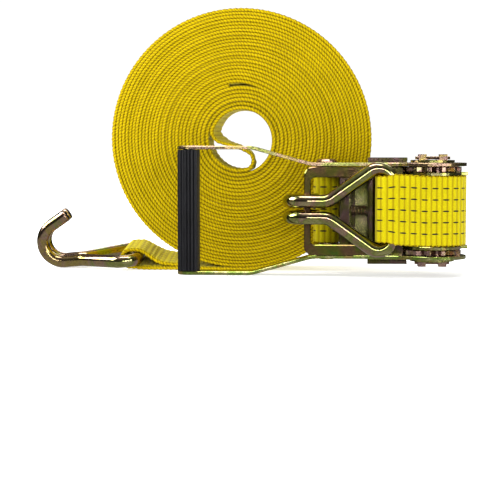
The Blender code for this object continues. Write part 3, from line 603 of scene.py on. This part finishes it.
WIRE = 4.75 * MM  # radius
HOOK_REACH = 58.5 * MM  # from the bar to where the legs curl
HALF_BAR, CORNER_RADIUS, CORNER_TURN = 19.05 * MM, 10.0 * MM, 125.6
NECK_RADIUS, NECK_TURN, HALF_SHANK = 12.0 * MM, 35.6, 5.9 * MM
CURL_RADIUS, CURL_TURN, POINT_LENGTH = 15.2 * MM, 150.0, 15.0 * MM
TABLE_GAP = 0.8 * MM  # under the long hook's curl
WORN_END = ((-0.05 * MM, 0.86), (0.3 * MM, 0.96), (0.9 * MM, 1.0))  # depth, share of the radius


def wire_hook_path():
    """The wire's middle: bar along y through the origin, legs to -x, open ends curled to -z."""
    spot, heading = Vector((0, 0, 0)), Vector((0, 1, 0))
    points = [spot.copy()]

    def ahead(length, steps=6):
        nonlocal spot
        for _ in range(steps):
            spot = spot + heading * length / steps
            points.append(spot.copy())

    def bend(axis, radius, angle, steps):
        nonlocal spot, heading
        centre = spot + Vector(axis).cross(heading) * radius
        turn = Matrix.Rotation(math.radians(angle / steps), 3, Vector(axis))
        for _ in range(steps):
            spot = centre + turn @ (spot - centre)
            heading = turn @ heading
            points.append(spot.copy())

    slope = math.radians(NECK_TURN)
    ahead(HALF_BAR)
    bend((0, 0, 1), CORNER_RADIUS, CORNER_TURN, 30)
    ahead((spot.y - HALF_SHANK - NECK_RADIUS * (1 - math.cos(slope))) / math.sin(slope))
    bend((0, 0, -1), NECK_RADIUS, CORNER_TURN - 90.0, 12)
    ahead(HOOK_REACH + spot.x)
    bend((0, -1, 0), CURL_RADIUS, CURL_TURN, 36)
    ahead(POINT_LENGTH)
    other = [Vector((p.x, -p.y, p.z)) for p in points[1:]]
    return other[::-1] + points


def wire_mesh(name, path, radius, look, sides=28):
    """A round wire with slightly rounded sawn ends, as a mesh."""
    last = len(path) - 1
    headings = [(path[min(i + 1, last)] - path[max(i - 1, 0)]).normalized()
                for i in range(len(path))]
    side = headings[0].orthogonal().normalized()
    bm = bmesh.new()
    rings = []

    def ring(centre, heading, across, size):
        up = heading.cross(across)
        spots = [centre + (across * math.cos(t) + up * math.sin(t)) * size
                 for t in (2 * math.pi * i / sides for i in range(sides))]
        rings.append([bm.verts.new(spot) for spot in spots])

    for i, (spot, heading) in enumerate(zip(path, headings)):
        side = (side - heading * side.dot(heading)).normalized()
        if i == 0:
            for depth, size in WORN_END:
                ring(spot + heading * depth, heading, side, radius * size)
        elif i == last:
            for depth, size in reversed(WORN_END):
                ring(spot - heading * depth, heading, side, radius * size)
        else:
            ring(spot, heading, side, radius)
    for near, far in zip(rings, rings[1:]):
        for j in range(sides):
            bm.faces.new((near[j - 1], near[j], far[j], far[j - 1]))
    bm.faces.new(rings[0])
    bm.faces.new(rings[-1][::-1])
    bmesh.ops.recalc_face_normals(bm, faces=bm.faces)
    mesh = bpy.data.meshes.new(name)
    bm.to_mesh(mesh)
    bm.free()
    mesh.shade_smooth()
    mesh.set_sharp_from_angle(angle=math.radians(50.0))
    mesh.materials.append(look)
    obj = bpy.data.objects.new(name, mesh)
    bpy.context.scene.collection.objects.link(obj)
    return obj


def wire_hooks(look_parked, look_long):
    """The parked hook lies on the buckle, and the long hook leans down to the table."""
    path = wire_hook_path()
    lay = Matrix.Translation(PARKED_BAR) @ Matrix.Rotation(math.radians(90.0), 4, "X")
    parked = wire_mesh("fixed_hook_wire", [lay @ p for p in path], WIRE, look_parked)
    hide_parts("fixed_hook")
    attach(parked, "fixed_hook")
    lean = math.asin((LONG_BAR.z - WIRE - TABLE_GAP) / HOOK_REACH)
    roll = math.atan2(HOOK_AXIS.z, HOOK_AXIS.y)
    lay = Matrix.Translation(LONG_BAR) @ Matrix.Rotation(roll, 4, "X")
    lay = lay @ Matrix.Rotation(-lean, 4, "Y") @ Matrix.Rotation(math.pi, 4, "X")
    long = wire_mesh("long_hook_wire", [lay @ p for p in path], WIRE, look_long)
    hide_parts("long_hook")
    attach(long, "long_hook")


SPRING_WIRE, SPRING_TURNS, SPRING_STEPS = 0.55 * MM, 5, 24  # radius, turns, and points in a turn


def springs(look):
    """Each spring lies between its seat and its pawl, and closes up as the pawl slides."""
    for name, base, pawl in (("drive_pawl_spring", "handle", "drive_pawl"),
                             ("lock_pawl_spring", "ratchet_frame", "lock_pawl")):
        low, high = (Vector(corner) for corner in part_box(name))
        middle, size = (low + high) / 2, (high.z - low.z) / 2 - SPRING_WIRE
        near, far = low.x + SPRING_WIRE, high.x - SPRING_WIRE
        angles = [2 * math.pi * i / SPRING_STEPS for i in range(SPRING_STEPS * SPRING_TURNS + 1)]
        path = [Vector((near + (far - near) * t / angles[-1], middle.y + size * math.cos(t),
                        middle.z + size * math.sin(t))) for t in angles]
        spring = wire_mesh(name + "_wire", path, SPRING_WIRE, look, sides=10)
        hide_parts(name)
        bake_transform(spring)


# ---------- the CAD nodes that show as they are ----------

def dress(look, *names):
    for name in names:
        node = frame["nodes"][name]
        node.data.materials.clear()
        node.data.materials.append(look)


def steel_parts():
    """Every CAD node that shows, with its own drift of the plating's tints. The pawls and spring
    seats inside the frame get halved tints, as painted shade.
    """
    # painted shade: the pawls and spring seats sit deep inside the frame, so their tints are halved
    # for the little light that reaches them there
    painted_shade_tints = [tuple(0.5 * part for part in tint) for tint in (BROWN, PLUM, DARK_OLIVE, BROWN)]
    looks = (
        ("plated_frame", GOLDEN, 0.19, 38.0, 0.10, ["base_frame"]),
        ("plated_arm_upper", [PLUM, OLIVE, ROSE, GOLD, PLUM], 0.24, 30.0, 0.31,
         ["handle_arm_upper"]),
        ("plated_arm_lower", [OLIVE, STRAW, GREEN, GOLD, OLIVE], 0.22, 30.0, 0.47,
         ["handle_arm_lower"]),
        ("plated_yoke", [DARK_GREEN, DARK_OLIVE, BROWN, DARK_OLIVE], 0.15, 42.0, 0.63,
         ["handle_yoke"]),
        ("plated_rod", GOLDEN, 0.3, 60.0, 0.2, ["grip_rod"]),
        ("plated_anchor", ROSY, 0.25, 60.0, 0.77, ["anchor_bolt", "anchor_nut", "anchor_sleeve"]),
        ("plated_spool", ROSY, 0.2, 55.0, 0.52,
         ["ratchet_wheel_upper", "ratchet_wheel_lower", "spool_shaft_left", "spool_shaft_right",
          "spool_cotter_upper", "spool_cotter_lower"]),
        ("plated_washer", GOLDEN, 0.2, 60.0, 0.93, ["spool_washer_upper", "spool_washer_lower"]),
        ("plated_pawl_painted_shade", painted_shade_tints, 0.18, 45.0, 0.15,
         ["drive_pawl", "lock_pawl", "handle_spring_seat", "lock_spring_seat"]),
    )
    for name, tints, roughness, patch, shift, nodes in looks:
        dress(plated_steel(name, tints, roughness, patch, shift), *nodes)
    dress(grip_material(), "handle_grip")


# ---------- floor, light and surroundings ----------

WHITE = (1.0, 1.0, 1.0, 1.0)
LIGHTS_AIM = Vector((0.0, 0.0, 0.06))
LIGHTS = (("front_light", (0.3, -1.5, 0.27), (1.2, 0.12), 7.5),
          ("key_light", (-0.75, 0.0, 0.55), (0.45, 0.45), 11.0),
          ("fill_light", (1.25, -1.15, 0.35), (0.6, 1.0), 10.0),
          ("top_light", (-0.1, -0.2, 1.5), (1.2, 0.3), 14.0),
          ("back_light", (0.2, 1.2, 1.1), (1.4, 0.4), 6.0))  # name, place, size in metres, watts
FLOOR_RADIUS = 6.0


def studio():
    """A white backdrop that lights matt pieces evenly, and a dark room for the steel to mirror."""
    scene = bpy.context.scene
    scene.view_settings.view_transform = "Standard"
    world = bpy.data.worlds.new("studio")
    scene.world = world
    world.use_nodes = True
    tree = world.node_tree
    tree.nodes.clear()
    way = add(tree, "TexCoord").outputs["Generated"]
    height = add(tree, "SeparateXYZ", {0: way}).outputs[2]
    room = ramp(tree, add(tree, "MapRange", {"Value": height, 1: -1.0, 2: 1.0}),
                [(0.0, (0.05, 0.05, 0.05)), (0.49, (0.04, 0.04, 0.04)), (0.60, (0.03, 0.03, 0.03)),
                 (0.80, (0.09, 0.09, 0.09)), (1.0, (0.5, 0.5, 0.5))])
    mirrored = add(tree, "Background", {"Color": room.outputs[0], "Strength": 1.0})
    seen = add(tree, "Background", {"Color": WHITE, "Strength": 1.05})
    even = add(tree, "Background", {"Color": WHITE, "Strength": 0.34})
    ray = add(tree, "LightPath")
    lit = add(tree, "MixShader", {0: ray.outputs["Is Diffuse Ray"], 1: mirrored.outputs[0],
                                  2: even.outputs[0]})
    mixed = add(tree, "MixShader", {0: ray.outputs["Is Camera Ray"], 1: lit.outputs[0],
                                    2: seen.outputs[0]})
    output = tree.nodes.new("ShaderNodeOutputWorld")
    tree.links.new(mixed.outputs[0], output.inputs["Surface"])

    for name, place, size, power in LIGHTS:
        data = bpy.data.lights.new(name, "AREA")
        data.shape = "RECTANGLE"
        data.size, data.size_y = size
        data.energy = power
        light = bpy.data.objects.new(name, data)
        light.location = place
        light.rotation_euler = (LIGHTS_AIM - Vector(place)).to_track_quat("-Z", "Y").to_euler()
        scene.collection.objects.link(light)


def paper_floor():
    """White paper that glows more with distance, and that the steel mirrors as a dim floor."""
    mesh = bpy.data.meshes.new("floor")
    bm = bmesh.new()
    bmesh.ops.create_circle(bm, cap_ends=True, segments=64, radius=FLOOR_RADIUS)
    bm.to_mesh(mesh)
    bm.free()
    floor = bpy.data.objects.new("floor", mesh)
    bpy.context.scene.collection.objects.link(floor)
    look, tree, shader = new_material("floor_paper")
    place = add(tree, "TexCoord").outputs["Object"]
    far = add(tree, "VectorMath", {0: place}, operation="LENGTH").outputs["Value"]
    paper = ramp(tree, add(tree, "MapRange", {"Value": far, 1: 0.2, 2: 0.9}),
                 [(0.0, (0.86, 0.86, 0.86)), (1.0, (0.92, 0.92, 0.92))])
    tree.links.new(paper.outputs[0], shader.inputs["Base Color"])
    shader.inputs["Roughness"].default_value = 0.9
    shader.inputs["Specular IOR Level"].default_value = 0.1
    glow = add(tree, "MapRange", {"Value": far, 1: 0.15, 2: 0.8, 3: 0.55, 4: 1.0})
    shader.inputs["Emission Color"].default_value = WHITE
    tree.links.new(glow.outputs[0], shader.inputs["Emission Strength"])
    dimming = add(tree, "MapRange", {"Value": far, 1: 0.2, 2: 1.6, 3: 0.42, 4: 0.03})
    dark = add(tree, "Emission", {"Color": WHITE, "Strength": dimming.outputs[0]})
    mirrored = add(tree, "LightPath").outputs["Is Glossy Ray"]
    shown = add(tree, "MixShader", {0: mirrored, 1: shader.outputs[0], 2: dark.outputs[0]})
    tree.links.new(shown.outputs[0], tree.nodes["Material Output"].inputs["Surface"])
    mesh.materials.append(look)


webbing = webbing_material()
long_strap(webbing)
fixed_strap(webbing)
wire_hooks(plated_steel("plated_hook_parked", [GOLD, STRAW, OLIVE, ROSE, STRAW], 0.12, 45.0, 0.26),
           plated_steel("plated_hook_long", [STRAW, OLIVE, ROSE, GOLD, PLUM], 0.14, 38.0, 0.84))
springs(plated_steel("plated_spring", [STRAW, ROSE, GOLD], 0.25, 120.0, 0.4))
steel_parts()
studio()
paper_floor()
